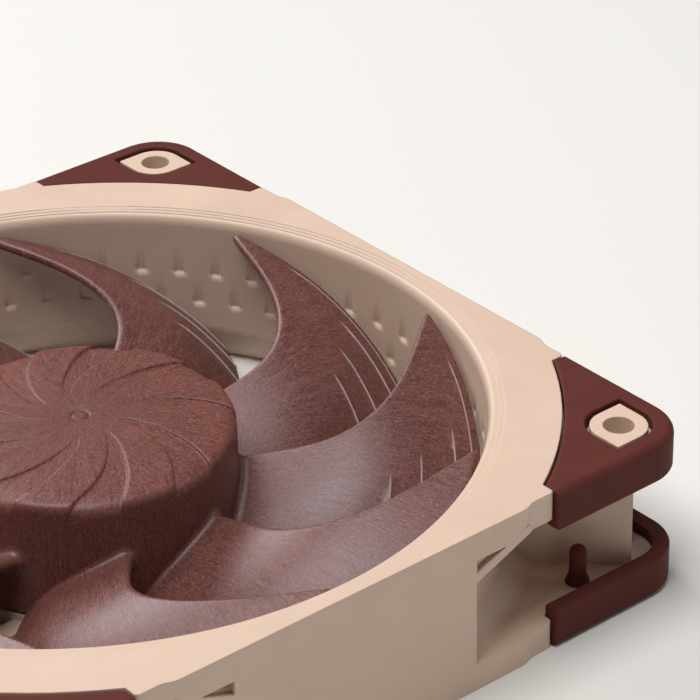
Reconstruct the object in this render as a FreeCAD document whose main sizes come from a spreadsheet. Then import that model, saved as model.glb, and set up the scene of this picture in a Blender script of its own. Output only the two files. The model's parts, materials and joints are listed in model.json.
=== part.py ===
"""A 120 mm case fan: moulded frame, rubber corner pads, swept impeller and its outer-rotor motor.

The origin is on the rotor's axis at the exhaust face. +Z points along the axis to the intake face.
"""
import FreeCAD, Part
import math
import os
import re

import Sketcher
from FreeCAD import Placement, Rotation, Vector

PARTS_FOLDER = "parts"
UP = Vector(0, 0, 1)
QUARTERS = (0, 90, 180, 270)

# alias, value in millimetres or degrees, what it is
SIZES = [
    ("fan_side", 120.0, "side of the square frame"),
    ("fan_depth", 25.0, "intake face to exhaust face"),
    ("hole_pitch", 105.0, "mounting hole spacing, both ways"),
    ("hole_radius", 2.2, "mounting hole"),
    ("flange_depth", 4.3, "thickness of each square flange"),
    ("bore_radius", 56.4, "inner wall round the blades"),
    ("flare_radius", 58.8, "inner wall at the exhaust face"),
    ("flare_depth", 5.0, "height of the exhaust flare"),
    ("flare_waist", 0.6, "how far the flare stands out at half its height"),
    ("lip_radius", 57.3, "inner edge of the stepped inlet"),
    ("lip_round", 1.6, "drop of the rounded inlet lip"),
    ("inlet_step", 0.7, "width of one inlet step"),
    ("inlet_drop", 0.1, "drop of one inlet step"),
    ("ring_radius", 59.6, "outer wall of the ring at mid height"),
    ("ring_foot", 63.2, "outer wall of the ring where it meets a flange"),
    ("wall_thickness", 1.1, "thin side wall and its diagonal ribs"),
    ("wall_reach", 20.0, "half length of the full height side wall"),
    ("rib_width", 1.3, "diagonal rib under the intake flange"),
    ("rib_length", 11.6, "run of the diagonal rib"),
    ("rib_slope", 22.0, "fall of the diagonal rib in degrees"),
    ("rib_start", 29.6, "where the diagonal rib leaves the flange"),
    ("web_half", 3.75, "half width of the corner web"),
    ("web_end", 76.5, "end of the corner web from the axis"),
    ("web_channel", 2.4, "half width of the screw channel in the web"),
    ("boss_radius", 4.0, "rounded half width of a hole boss"),
    ("pad_start", 34.4, "where a pad starts along the side"),
    ("pad_arc", 66.5, "arc of the recess that holds a pad"),
    ("pad_gap", 0.25, "gap between a pad and its recess"),
    ("pad_thickness", 2.0, "rubber over the flange"),
    ("pad_corner", 7.5, "outer corner radius of a pad"),
    ("skirt_thickness", 2.4, "rubber outside the flange edge"),
    ("skirt_depth", 6.0, "how far a skirt comes down from the face"),
    ("opening_gap", 0.45, "gap round a boss in its pad"),
    ("peg_near", 43.2, "peg centre, smaller coordinate"),
    ("peg_far", 54.7, "peg centre, larger coordinate"),
    ("peg_radius", 1.2, "peg shank"),
    ("peg_bulb", 1.8, "peg where it grips the flange"),
    ("peg_bulb_rise", 1.6, "height of the grip"),
    ("peg_length", 6.0, "peg beyond the flange"),
    ("strut_width", 3.0, "plain strut"),
    ("lead_strut_width", 5.0, "strut that carries the lead"),
    ("lead_groove", 3.0, "width of the lead's groove"),
    ("groove_depth", 1.2, "depth of that groove in the strut"),
    ("exit_far", 9.0, "far side of the lead's way out, in from the base's rim"),
    ("exit_near", 4.5, "near side of that way out"),
    ("strut_offset", 11.0, "distance of a strut's line from the axis"),
    ("strut_bottom", 0.6, "underside of the struts and motor base"),
    ("strut_top", 3.0, "top of the struts"),
    ("base_floor", 2.2, "top of the motor base's floor"),
    ("base_rim_top", 4.0, "top of the motor base's rim"),
    ("tower_radius", 6.2, "plastic tower round the bearing housing"),
    ("tower_top", 5.7, "top of that tower"),
    ("board_shelf", 7.6, "radius of the shelf under the board"),
    ("hub_radius", 21.65, "outer wall of the hub"),
    ("hub_wall", 1.35, "thickness of the hub's wall"),
    ("hub_bottom", 4.4, "lower edge of the hub"),
    ("hub_clearance", 0.8, "gap between the blade roots and the motor base's rim"),
    ("hub_shoulder", 22.0, "where the hub's wall turns over"),
    ("hub_edge", 20.6, "rim of the hub's crown"),
    ("hub_rim_top", 22.5, "height of that rim"),
    ("hub_top", 23.4, "crown of the hub"),
    ("hub_inside", 21.0, "inside of the hub's top"),
    ("tip_radius", 55.7, "blade tips"),
    ("blade_root", 20.9, "radius where a blade is buried in the hub"),
    ("blade_count", 9.0, "number of blades"),
    ("blade_thickness", 1.5, "blade near its leading edge"),
    ("blade_thinning", 0.8, "blade at its trailing edge"),
    ("root_thickening", 0.7, "extra thickness at the root"),
    ("yoke_wall", 0.8, "steel cup"),
    ("yoke_bottom", 5.6, "open edge of the cup"),
    ("magnet_thickness", 2.25, "ring magnet"),
    ("magnet_bottom", 7.0, "lower edge of the magnet"),
    ("magnet_top", 17.5, "upper edge of the magnet"),
    ("bushing_radius", 4.0, "brass insert in the hub"),
    ("bushing_bottom", 17.6, "lower end of the insert"),
    ("bushing_top", 22.0, "upper end of the insert"),
    ("shaft_radius", 1.5, "shaft"),
    ("shaft_bottom", 1.52, "lower end of the shaft"),
    ("shaft_top", 21.6, "upper end of the shaft"),
    ("groove_radius", 1.1, "groove for the retaining clip"),
    ("clip_bottom", 2.3, "lower face of the clip"),
    ("clip_thickness", 0.4, "clip"),
    ("clip_radius", 2.5, "outer edge of the clip"),
    ("clip_mouth", 1.6, "open side of the clip"),
    ("housing_radius", 4.6, "outside of the bearing housing"),
    ("housing_bore", 3.3, "inside of the bearing housing"),
    ("housing_bottom", 0.9, "lower end of the housing"),
    ("housing_top", 16.5, "upper end of the housing"),
    ("sleeve_bottom", 3.4, "lower end of the bearing sleeve"),
    ("sleeve_top", 15.0, "upper end of the bearing sleeve"),
    ("running_gap", 0.03, "radial clearance of the shaft in its sleeve"),
    ("washer_thickness", 0.5, "dust washer"),
    ("washer_gap", 0.1, "radial clearance of the dust washer"),
    ("thrust_top", 1.5, "upper face of the thrust plate"),
    ("label_radius", 17.0, "blank disc under the motor base"),
    ("label_thickness", 0.2, "that disc"),
    ("board_bottom", 3.2, "underside of the circuit board"),
    ("board_thickness", 1.0, "circuit board"),
    ("board_radius", 18.6, "circuit board"),
    ("board_bore", 6.3, "hole in the board"),
    ("driver_from", 11.8, "driver chip from the axis"),
    ("driver_long", 3.9, "driver chip"),
    ("driver_wide", 4.9, "driver chip"),
    ("driver_height", 1.0, "driver chip"),
    ("sensor_from", 17.0, "position sensor from the axis"),
    ("sensor_long", 1.6, "position sensor"),
    ("sensor_wide", 3.0, "position sensor"),
    ("sensor_height", 0.8, "position sensor"),
    ("small_from", 11.5, "small board parts from the axis"),
    ("small_long", 1.0, "small board part"),
    ("small_wide", 2.0, "small board part"),
    ("small_height", 0.6, "small board part"),
    ("mound_from", 16.2, "soldered lead ends from the axis"),
    ("mound_radius", 0.9, "soldered lead end"),
    ("mound_height", 0.4, "soldered lead end"),
    ("core_bottom", 8.2, "lower face of the lamination stack"),
    ("core_height", 5.0, "lamination stack"),
    ("core_ring", 7.0, "inner ring of the stack"),
    ("core_arm", 3.6, "width of a stator arm"),
    ("shoe_inner", 14.6, "inside of a pole shoe"),
    ("shoe_outer", 16.6, "outside of a pole shoe"),
    ("shoe_gap", 3.2, "slot between two pole shoes"),
    ("bobbin_wall", 0.8, "bobbin between core and wire"),
    ("bobbin_cheek", 1.4, "thickness of a bobbin's outer cheek"),
    ("bobbin_cheek_half", 5.0, "half width of that cheek"),
    ("bobbin_rise", 2.5, "height of a bobbin beyond the core"),
    ("coil_inner", 7.8, "coil's inner end from the axis"),
    ("coil_outer", 13.0, "coil's outer end from the axis"),
    ("coil_build", 1.7, "thickness of the winding"),
    ("pin_radius", 0.35, "winding pin"),
    ("pin_circle", 13.7, "winding pins from the axis"),
    ("pin_bottom", 2.7, "lower end of a winding pin"),
]

# how far the flange's edge stands inside the fan's side, and short of the pad, from mid side to its horn
SIDE_STEPS = [
    (0, 6.2), (0.1, 5.5), (0.35, 4.9), (0.6, 4.3),
    (0.7, 3.6), (0.7, 0.8), (0.88, 0.35), (1.3, 0.2),
]
LIP_TURNS = (0, 18, 36, 54, 72, 90)
SMALL_PART_ANGLES = (120, 135, 150)
LEAD_PAD_ANGLES = (205, 214, 223, 232)

doc = FreeCAD.newDocument("case_fan")
sheet = doc.addObject("Spreadsheet::Sheet", "sizes")
for row, (alias, value, note) in enumerate(SIZES, start=1):
    sheet.set(f"A{row}", note)
    sheet.set(f"B{row}", str(value))
    sheet.setAlias(f"B{row}", alias)
doc.recompute()

ALIASES = re.compile(r"\b(" + "|".join(alias for alias, value, note in SIZES) + r")\b")


def linked(text):
    """The expression with each alias written as a cell of the sheet."""
    return ALIASES.sub(r"sizes.\1", str(text))


def size(text):
    """The present value of an expression."""
    result = sheet.evalExpression(linked(text))
    return float(getattr(result, "Value", result))


def bind(feature, expressions):
    """Ties each named property of a feature to an expression."""
    for name, text in expressions.items():
        feature.setExpression(name, linked(text))
    return feature


def at(x, y, z):
    """Expressions for a place."""
    return {"Placement.Base.x": x, "Placement.Base.y": y, "Placement.Base.z": z}


def cylinder(name, radius, bottom, top, x="0", y="0"):
    """An upright cylinder between two heights."""
    feature = doc.addObject("Part::Cylinder", name)
    return bind(feature, {"Radius": radius, "Height": f"({top}) - ({bottom})", **at(x, y, bottom)})


def block(name, x, y, z):
    """A box from three pairs of (low, high) expressions."""
    feature = doc.addObject("Part::Box", name)
    for side, (low, high) in zip(("Length", "Width", "Height"), (x, y, z)):
        bind(feature, {side: f"({high}) - ({low})"})
    return bind(feature, at(x[0], y[0], z[0]))


def fused(name, parts):
    """Several parts as one."""
    feature = doc.addObject("Part::MultiFuse", name)
    feature.Shapes = parts
    feature.Refine = True
    return feature


def cut(name, base, tool):
    """The base without the tool."""
    feature = doc.addObject("Part::Cut", name)
    feature.Base = base
    feature.Tool = tool
    feature.Refine = True
    return feature


def common(name, first, second):
    """What two parts share."""
    feature = doc.addObject("Part::Common", name)
    feature.Base = first
    feature.Tool = second
    return feature


def group(name, parts, placement=None):
    """Separate solids kept together, moved as one."""
    feature = doc.addObject("Part::Compound", name)
    feature.Links = parts
    if placement is not None:
        feature.Placement = placement
    return feature


def turned(name, parts, angle):
    """A copy of the parts, turned about the fan's axis."""
    return group(name, parts, Placement(Vector(), Rotation(UP, angle)))


def all_round(name, parts, angles=QUARTERS):
    """Copies of the parts at each angle."""
    return group(name, [turned(f"{name}_{index}", parts, angle) for index, angle in enumerate(angles)])


def tube(name, outer, inner, bottom, top):
    """A plain tube."""
    bore = cylinder(f"{name}_bore", inner, f"({bottom}) - 1", f"({top}) + 1")
    return cut(name, cylinder(f"{name}_outside", outer, bottom, top), bore)


def origin_plane(body, role):
    """One of a body's own origin planes."""
    return next(feature for feature in body.Origin.OriginFeatures if feature.Role == role)


def on_plane(body, name, role):
    """A sketch on one of the body's own planes."""
    sketch = body.newObject("Sketcher::SketchObject", name)
    sketch.AttachmentSupport = (origin_plane(body, role), [""])
    sketch.MapMode = "FlatFace"
    return sketch


def pin_point(sketch, edge, end, text, axis):
    """Holds one coordinate of a sketch point at an expression."""
    if abs(size(text)) < 1e-9:
        sketch.addConstraint(Sketcher.Constraint("PointOnObject", edge, end, -2 if axis == "X" else -1))
        return
    index = sketch.addConstraint(Sketcher.Constraint(f"Distance{axis}", -1, 1, edge, end, size(text)))
    sketch.setExpression(f"Constraints[{index}]", linked(text))


def polygon(sketch, corners):
    """A closed outline whose corners are pairs of expressions."""
    places = [Vector(size(x), size(y), 0) for x, y in corners]
    count = len(places)
    for index in range(count):
        sketch.addGeometry(Part.LineSegment(places[index], places[(index + 1) % count]))
    for index in range(count):
        sketch.addConstraint(Sketcher.Constraint("Coincident", index, 2, (index + 1) % count, 1))
        pin_point(sketch, index, 1, corners[index][0], "X")
        pin_point(sketch, index, 1, corners[index][1], "Y")


def turning(name, section):
    """A body turned about the fan's axis from a section of (radius, height) corners."""
    body = doc.addObject("PartDesign::Body", name)
    sketch = on_plane(body, f"{name}_section", "XZ_Plane")
    polygon(sketch, section)
    feature = body.newObject("PartDesign::Revolution", f"{name}_turning")
    feature.Profile = sketch
    feature.ReferenceAxis = (sketch, ["V_Axis"])
    feature.Angle = 360
    return body


# ---- frame ----


def side_plate(name, bottom, top):
    """The flange between the pads of two sides: widest at mid side, with a small horn at each end."""
    quarter = [(f"fan_side / 2 - {inset}", f"pad_start - {short}") for inset, short in SIDE_STEPS]
    upper = quarter + [(f"-({x})", y) for x, y in reversed(quarter)]
    corners = upper + [(f"-({x})", f"-({y})") for x, y in upper]
    sketch = doc.addObject("Sketcher::SketchObject", f"{name}_outline")
    polygon(sketch, corners)
    bind(sketch, {"Placement.Base.z": bottom})
    plate = doc.addObject("Part::Extrusion", name)
    plate.Base = sketch
    plate.DirMode = "Custom"
    plate.Dir = UP
    plate.Solid = True
    return bind(plate, {"LengthFwd": f"({top}) - ({bottom})"})


def flange_outline(name, bottom, top):
    """The square flange: narrow at the corners, where the pads wrap it."""
    core = "fan_side / 2 - skirt_thickness"
    centre = "hole_pitch / 2"
    along, across = (f"-({core})", core), (f"-({centre})", centre)
    parts = [
        block(f"{name}_x", along, across, (bottom, top)),
        block(f"{name}_y", across, along, (bottom, top)),
        turned(f"{name}_sides", [side_plate(f"{name}_side", bottom, top)], 0),
        turned(f"{name}_ends", [side_plate(f"{name}_end", bottom, top)], 90),
    ]
    corner = cylinder(f"{name}_corner", f"{core} - {centre}", bottom, top, centre, centre)
    return fused(name, parts + [all_round(f"{name}_corners", [corner])])


def boss_shape(name, bottom, top, gap):
    """A hole boss: round towards and away from the axis, square at its two other corners."""
    centre = "hole_pitch / 2"
    reach = f"(boss_radius + {gap})"
    low, high = (f"{centre} - {reach}", centre), (centre, f"{centre} + {reach}")
    parts = [
        cylinder(f"{name}_round", reach, bottom, top, centre, centre),
        block(f"{name}_left", low, high, (bottom, top)),
        block(f"{name}_right", high, low, (bottom, top)),
    ]
    return fused(name, parts)


def pad_recess(name, bottom, top):
    """The corner space outside the pad arc."""
    span = ("pad_start - 0.2", "fan_side")
    corner = block(f"{name}_corner", span, span, (bottom, top))
    return cut(name, corner, cylinder(f"{name}_arc", "pad_arc", f"{bottom} - 1", f"{top} + 1"))


def ring_section():
    """Half section of the ring: stepped inlet, straight bore, exhaust flare and two coned feet."""
    steps = []
    for index in range(3):
        radius = f"lip_radius + {index} * inlet_step"
        steps.append((radius, f"fan_depth - {3 - index} * inlet_drop"))
        steps.append((radius, f"fan_depth - {2 - index} * inlet_drop"))
    lip = []
    for turn in LIP_TURNS:
        across, rise = math.cos(math.radians(turn)), math.sin(math.radians(turn))
        radius = f"lip_radius - (lip_radius - bore_radius) * {across:.4f}"
        lip.append((radius, f"fan_depth - 3 * inlet_drop - lip_round * {1 - rise:.4f}"))
    cone = "(ring_foot - ring_radius)"
    return [
        ("flare_radius", "0"),
        ("bore_radius + flare_waist", "flare_depth / 2"),
        ("bore_radius", "flare_depth"),
        *lip,
        *steps[1:],
        ("ring_foot", "fan_depth"),
        ("ring_foot", "fan_depth - flange_depth"),
        ("ring_radius", f"fan_depth - flange_depth - {cone}"),
        ("ring_radius", f"flange_depth + {cone}"),
        ("ring_foot", "flange_depth"),
        ("ring_foot", "0"),
    ]


def base_section():
    """Half section of the motor base: floor, rim, board shelf and bearing tower."""
    return [
        ("housing_radius", "strut_bottom"),
        ("hub_radius", "strut_bottom"),
        ("hub_radius", "base_rim_top"),
        ("hub_radius - hub_wall", "base_rim_top"),
        ("hub_radius - hub_wall", "base_floor"),
        ("board_shelf", "base_floor"),
        ("board_shelf", "board_bottom"),
        ("tower_radius", "board_bottom"),
        ("tower_radius", "tower_top"),
        ("housing_radius", "tower_top"),
    ]


def corner_web():
    """The web between the flanges on a diagonal, with the screw's channel open to the corner."""
    height = ("flange_depth", "fan_depth - flange_depth")
    centre = "hole_pitch * sqrt(2) / 2"
    solid = block("web_block", ("ring_radius - 1", "web_end"), ("-web_half", "web_half"), height)
    channel = [
        block("web_slot", (centre, "web_end + 1"), ("-web_channel", "web_channel"), height),
        cylinder("web_round", "web_channel", *height, x=centre),
    ]
    return cut("web", solid, fused("web_channel_shape", channel))


def diagonal_rib(name, mirrored):
    """A rib in the side wall's plane that falls away from the intake flange."""
    feature = doc.addObject("Part::Box", name)
    lift = "fan_depth - flange_depth + rib_width * 0.3"
    bind(feature, {"Length": "wall_thickness", "Width": "rib_length", "Height": "rib_width"})
    bind(feature, at("fan_side / 2 - wall_thickness", "-rib_start", lift))
    feature.Placement.Rotation = Rotation(Vector(1, 0, 0), -size("rib_slope"))
    if not mirrored:
        return feature
    other = doc.addObject("Part::Mirroring", f"{name}_mirrored")
    other.Source = feature
    other.Normal = Vector(0, 1, 0)
    return other


def strut(name, width):
    """A strut beside the axis, from the motor base to the ring."""
    half = f"({width}) / 2"
    across = (f"strut_offset - {half}", f"strut_offset + {half}")
    return block(name, ("hub_radius - 5", "bore_radius + 1.2"), across, ("strut_bottom", "strut_top"))


def make_frame():
    """The one-piece moulded frame."""
    top, depth = "fan_depth", "flange_depth"
    flanges = [
        flange_outline("exhaust_flange", "0", depth),
        flange_outline("intake_flange", f"{top} - {depth}", top),
    ]
    bore = cylinder("flange_bore", "ring_foot - 1", "-1", "fan_depth + 1")
    plates = cut("flange_plates", fused("flanges", flanges), bore)
    recesses = [
        all_round("intake_recess", [pad_recess("recess_high", f"{top} - pad_thickness", f"{top} + 1")]),
        all_round("exhaust_recess", [pad_recess("recess_low", "-1", "pad_thickness")]),
    ]
    recessed = cut("recessed_plates", plates, fused("recesses", recesses))

    square = block("frame_square", *[("-fan_side / 2", "fan_side / 2")] * 2, ("0", "fan_depth"))
    ring = common("clipped_ring", turning("ring", ring_section()), square)
    wall_span = ("fan_side / 2 - wall_thickness", "fan_side / 2")
    wall = block("side_wall", wall_span, ("-wall_reach", "wall_reach"), ("0", "fan_depth"))
    ribs = [diagonal_rib("rib_left", False), diagonal_rib("rib_right", True)]
    bosses = [
        boss_shape("exhaust_boss", "0", depth, "0"),
        boss_shape("intake_boss", f"{top} - {depth}", top, "0"),
    ]
    strut_angles = (0, 90, 270)
    struts = [all_round("plain_struts", [strut("strut_bar", "strut_width")], strut_angles)]
    struts.append(turned("lead_strut", [strut("lead_strut_bar", "lead_strut_width")], 180))
    web_angles = [angle + 45 for angle in QUARTERS]
    solids = [
        recessed,
        ring,
        all_round("side_walls", [wall]),
        all_round("ribs_left", ribs[:1]),
        all_round("ribs_right", ribs[1:]),
        all_round("bosses_exhaust", bosses[:1]),
        all_round("bosses_intake", bosses[1:]),
        all_round("corner_webs", [corner_web()], web_angles),
        *struts,
        turning("motor_base", base_section()),
    ]
    hole = cylinder("hole", "hole_radius", "-1", "fan_depth + 1", "hole_pitch / 2", "hole_pitch / 2")
    pegs = [
        cylinder("peg_hole_a", "peg_radius", "-1", "fan_depth + 1", "peg_far", "peg_near"),
        cylinder("peg_hole_b", "peg_radius", "-1", "fan_depth + 1", "peg_near", "peg_far"),
    ]
    groove_half = "lead_groove / 2"
    groove_span = (f"strut_offset - {groove_half}", f"strut_offset + {groove_half}")
    groove_run = ("hub_radius - 1.5", "fan_side / 2 + 1")
    groove_height = ("-1", "strut_bottom + groove_depth")
    groove = block("lead_groove_run", groove_run, groove_span, groove_height)
    exit_run = ("hub_radius - exit_far", "hub_radius - exit_near")
    exit_hole = block("lead_exit", exit_run, groove_span, ("-1", "board_bottom"))
    cutters = [
        all_round("holes", [hole]),
        all_round("peg_holes", pegs),
        turned("lead_run", [groove], 180),
        turned("lead_way_out", [exit_hole], 180),
    ]
    return cut("frame", fused("frame_solids", solids), group("frame_cutters", cutters))


# ---- corner pads ----


def peg(name, near, far):
    """A pull-through peg: a neck in the flange, a grip below it and a round-ended shank."""
    face = "fan_depth - flange_depth"
    end = f"{face} - peg_length"
    low, high = f"{end} + peg_radius", "fan_depth - pad_thickness"
    neck = cylinder(f"{name}_neck", "peg_radius", low, high, near, far)
    tip = bind(doc.addObject("Part::Sphere", f"{name}_tip"), {"Radius": "peg_radius"})
    bind(tip, at(near, far, low))
    grip = doc.addObject("Part::Cone", f"{name}_grip")
    bind(grip, {"Radius1": "peg_radius", "Radius2": "peg_bulb", "Height": "peg_bulb_rise"})
    bind(grip, at(near, far, f"{face} - peg_bulb_rise"))
    return [neck, tip, grip]


def make_pads():
    """Eight like pads, four on each face."""
    centre, half = "hole_pitch / 2", "fan_side / 2"
    skirt = ("fan_depth - skirt_depth", "fan_depth")
    inside = ("fan_depth - skirt_depth - 1", "fan_depth - pad_thickness")
    body = [
        block("pad_x", ("pad_start", half), ("pad_start", centre), skirt),
        block("pad_y", ("pad_start", centre), ("pad_start", half), skirt),
        cylinder("pad_corner_round", "pad_corner", *skirt, x=centre, y=centre),
    ]
    core = f"{half} - skirt_thickness"
    hollow = [
        block("hollow_x", ("0", core), ("0", centre), inside),
        block("hollow_y", ("0", centre), ("0", core), inside),
        cylinder("hollow_corner", f"{core} - {centre}", *inside, x=centre, y=centre),
        cylinder("hollow_arc", "pad_arc + pad_gap", "0", "fan_depth + 1"),
        boss_shape("boss_way", "fan_depth - pad_thickness - 1", "fan_depth + 1", "opening_gap"),
    ]
    shell = cut("pad_shell", fused("pad_block", body), fused("pad_hollow", hollow))
    pegs = peg("peg_a", "peg_near", "peg_far") + peg("peg_b", "peg_far", "peg_near")
    master = fused("pad_master", [shell] + pegs)
    flip = Placement(Vector(0, 0, size("fan_depth")), Rotation(Vector(1, 1, 0), 180))
    pads = []
    for number, angle in enumerate(QUARTERS, start=1):
        quarter = Placement(Vector(), Rotation(UP, angle))
        pads.append(group(f"intake_pad_{number}", [master], quarter))
        pads.append(group(f"exhaust_pad_{number}", [master], quarter.multiply(flip)))
    return pads


# ---- impeller ----


def leading_edge(span):
    """Angle and height of the leading edge, span 0 at the hub to 1 at the tip."""
    angle = 20.23 + span * (-21.0 + span * (-30.98 + span * (171.95 - 100.47 * span)))
    height = 14.2 + span * (8.75 + span * (-2.25 + span * (9.8 - 6.74 * span)))
    return angle, height


def trailing_edge(span):
    """Angle and height of the trailing edge."""
    return -18.5 + span * (4.4 + 18.3 * span), 4.6 + 0.3 * span


def camber(chord):
    """Share of the blade's fall that is used up at a share of its chord."""
    return 0.62 * chord + 0.38 * chord ** 3


def blade_point(radius, chord, below):
    """A point of the blade, chord 0 to 1 from its leading edge, below its upper surface by a share."""
    span = (radius - size("hub_radius")) / (size("tip_radius") - size("hub_radius"))
    (lead_angle, lead_height), (trail_angle, trail_height) = leading_edge(span), trailing_edge(span)
    run = math.radians(trail_angle - lead_angle) * radius
    fall = trail_height - lead_height
    slope = fall * (0.62 + 1.14 * chord ** 2) / run
    thickness = size("blade_thickness") + chord * (size("blade_thinning") - size("blade_thickness"))
    thickness += size("root_thickening") * (1 - chord) * max(0.0, 1 - 3 * span) ** 2
    offset = below * thickness / math.hypot(1, slope)
    angle = math.radians(lead_angle) + (run * chord + offset * slope) / radius
    height = lead_height + fall * camber(chord) - offset
    return Vector(radius * math.cos(angle), radius * math.sin(angle), height)


def blade_shape():
    """A solid between two spline skins that share their borders with four ruled faces."""
    root, tip = size("blade_root"), size("tip_radius")
    radii = [root + (tip - root) * index / 11 for index in range(12)]
    chords = [index / 10 for index in range(11)]
    faces = []
    for below in (0, 1):
        skin = Part.BSplineSurface()
        skin.interpolate([[blade_point(radius, chord, below) for chord in chords] for radius in radii])
        faces.append(skin.toShape())
    uppers, lowers = faces[0].Edges, faces[1].Edges
    for edge in uppers:
        middle = edge.CenterOfMass
        partner = min(lowers, key=lambda other: other.CenterOfMass.distanceToPoint(middle))
        faces.append(Part.makeRuledSurface(edge, partner))
    shell = Part.Shell(faces)
    shell.sewShape()
    solid = Part.Solid(shell)
    if solid.Volume < 0:
        solid.reverse()
    return solid


def hub_section():
    """Half section of the hub: wall, rounded shoulder, shallow crown and a seat for the shaft's insert."""
    inner = "hub_radius - hub_wall"
    return [
        ("0", "bushing_top"),
        ("bushing_radius", "bushing_top"),
        ("bushing_radius", "hub_inside"),
        (inner, "hub_inside"),
        (inner, "hub_bottom"),
        ("hub_radius", "hub_bottom"),
        ("hub_radius", "hub_shoulder - 1"),
        ("hub_radius - 0.3", "hub_shoulder"),
        ("hub_edge", "hub_rim_top"),
        ("hub_edge / 2", "hub_top - 0.25"),
        ("0", "hub_top"),
    ]


def make_impeller():
    """Hub and nine blades, one moulding. Only a direct fusion keeps the spline blades whole."""
    count = int(size("blade_count"))
    blade = doc.addObject("Part::Feature", "blade")
    blade.Shape = blade_shape()
    blades = all_round("blades", [blade], [360 * index / count for index in range(count)])
    hub = turning("hub", hub_section())
    clearance = cylinder("base_clearance", "hub_radius + hub_clearance", "0", "hub_bottom")
    doc.recompute()
    impeller = doc.addObject("Part::Feature", "impeller")
    impeller.Shape = hub.Shape.fuse(blades.Shape).cut(clearance.Shape).removeSplitter()
    return impeller


# ---- rotor ----


def make_rotor():
    """Steel cup, magnet, shaft, insert and clip."""
    outer, inner = "hub_radius - hub_wall", "hub_radius - hub_wall - yoke_wall"
    yoke = turning("rotor_yoke", [
        ("bushing_radius", "hub_inside - yoke_wall"),
        (inner, "hub_inside - yoke_wall"),
        (inner, "yoke_bottom"),
        (outer, "yoke_bottom"),
        (outer, "hub_inside"),
        ("bushing_radius", "hub_inside"),
    ])
    magnet = turning("ring_magnet", [
        (f"{inner} - magnet_thickness", "magnet_bottom"),
        (inner, "magnet_bottom"),
        (inner, "magnet_top"),
        (f"{inner} - magnet_thickness", "magnet_top"),
    ])
    shaft = turning("shaft", [
        ("0", "shaft_bottom"),
        ("shaft_radius / 2", "shaft_bottom + 0.1"),
        ("groove_radius", "shaft_bottom + 0.3"),
        ("shaft_radius", "shaft_bottom + 0.6"),
        ("shaft_radius", "clip_bottom"),
        ("groove_radius", "clip_bottom"),
        ("groove_radius", "clip_bottom + clip_thickness"),
        ("shaft_radius", "clip_bottom + clip_thickness"),
        ("shaft_radius", "shaft_top"),
        ("0", "shaft_top"),
    ])
    bushing = turning("shaft_bushing", [
        ("shaft_radius", "bushing_bottom"),
        ("bushing_radius - 0.4", "bushing_bottom"),
        ("bushing_radius", "bushing_bottom + 0.4"),
        ("bushing_radius", "bushing_top"),
        ("0", "bushing_top"),
        ("0", "shaft_top"),
        ("shaft_radius", "shaft_top"),
    ])
    clip_top = "clip_bottom + clip_thickness"
    clip_ring = tube("clip_ring", "clip_radius", "groove_radius", "clip_bottom", clip_top)
    mouth_width = ("-clip_mouth / 2", "clip_mouth / 2")
    mouth_height = ("clip_bottom - 1", f"{clip_top} + 1")
    mouth = block("clip_mouth_cut", ("0", "clip_radius + 1"), mouth_width, mouth_height)
    return [yoke, magnet, shaft, bushing, cut("retaining_clip", clip_ring, mouth)]


# ---- bearing and stator ----


def make_bearing():
    """Brass housing, porous sleeve, dust washer and thrust plate."""
    washer_top = "sleeve_top + washer_thickness"
    return [
        tube("bearing_housing", "housing_radius", "housing_bore", "housing_bottom", "housing_top"),
        tube("bearing_sleeve", "housing_bore", "shaft_radius + running_gap", "sleeve_bottom", "sleeve_top"),
        tube("dust_washer", "housing_bore", "shaft_radius + washer_gap", "sleeve_top", washer_top),
        cylinder("thrust_plate", "housing_bore", "housing_bottom", "thrust_top"),
        cylinder("base_label", "label_radius", "strut_bottom - label_thickness", "strut_bottom"),
    ]


def make_core():
    """Four-pole lamination stack: a ring, four arms and four pole shoes."""
    bottom, top = "core_bottom", "core_bottom + core_height"
    ring = tube("core_ring_solid", "core_ring", "housing_radius", bottom, top)
    half = "core_arm / 2"
    arm = block("core_arm_bar", ("core_ring - 0.5", "shoe_inner + 0.5"), (f"-{half}", half), (bottom, top))
    shoes = tube("core_shoes", "shoe_outer", "shoe_inner", bottom, top)
    slot_width, slot_height = ("-shoe_gap / 2", "shoe_gap / 2"), (f"{bottom} - 1", f"{top} + 1")
    slot = block("shoe_slot", ("0", "shoe_outer + 1"), slot_width, slot_height)
    slots = all_round("shoe_slots", [slot], [angle + 45 for angle in QUARTERS])
    return fused("stator_core", [ring, all_round("core_arms", [arm]), cut("slotted_shoes", shoes, slots)])


def make_bobbin(name, inner_face, outer_face, far_face, middle):
    """A moulded insulator on one face of the core: ring, four covered arms and four cheeks."""
    low, high = sorted((inner_face, outer_face), key=size)
    cheek_low, cheek_high = sorted((inner_face, far_face), key=size)
    sleeve_low, sleeve_high = sorted((middle, outer_face), key=size)
    core_low, core_high = sorted((middle, inner_face), key=size)
    half = "core_arm / 2"
    cover = f"({half} + bobbin_wall)"
    ring = tube(f"{name}_ring", "coil_inner", "housing_radius", cheek_low, cheek_high)
    arm = block(f"{name}_arm", ("coil_inner - 1", "coil_outer"), (f"-{cover}", cover), (low, high))
    side_run = ("coil_inner", "coil_outer")
    sides = [
        block(f"{name}_side_a", side_run, (half, cover), (sleeve_low, sleeve_high)),
        block(f"{name}_side_b", side_run, (f"-{cover}", f"-{half}"), (sleeve_low, sleeve_high)),
    ]
    cheek_run = ("coil_outer", "coil_outer + bobbin_cheek")
    cheek_width = ("-bobbin_cheek_half", "bobbin_cheek_half")
    cheek = block(f"{name}_cheek", cheek_run, cheek_width, (cheek_low, cheek_high))
    return fused(name, [ring, all_round(f"{name}_arms", [fused(f"{name}_limb", [arm, *sides, cheek])])])


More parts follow.
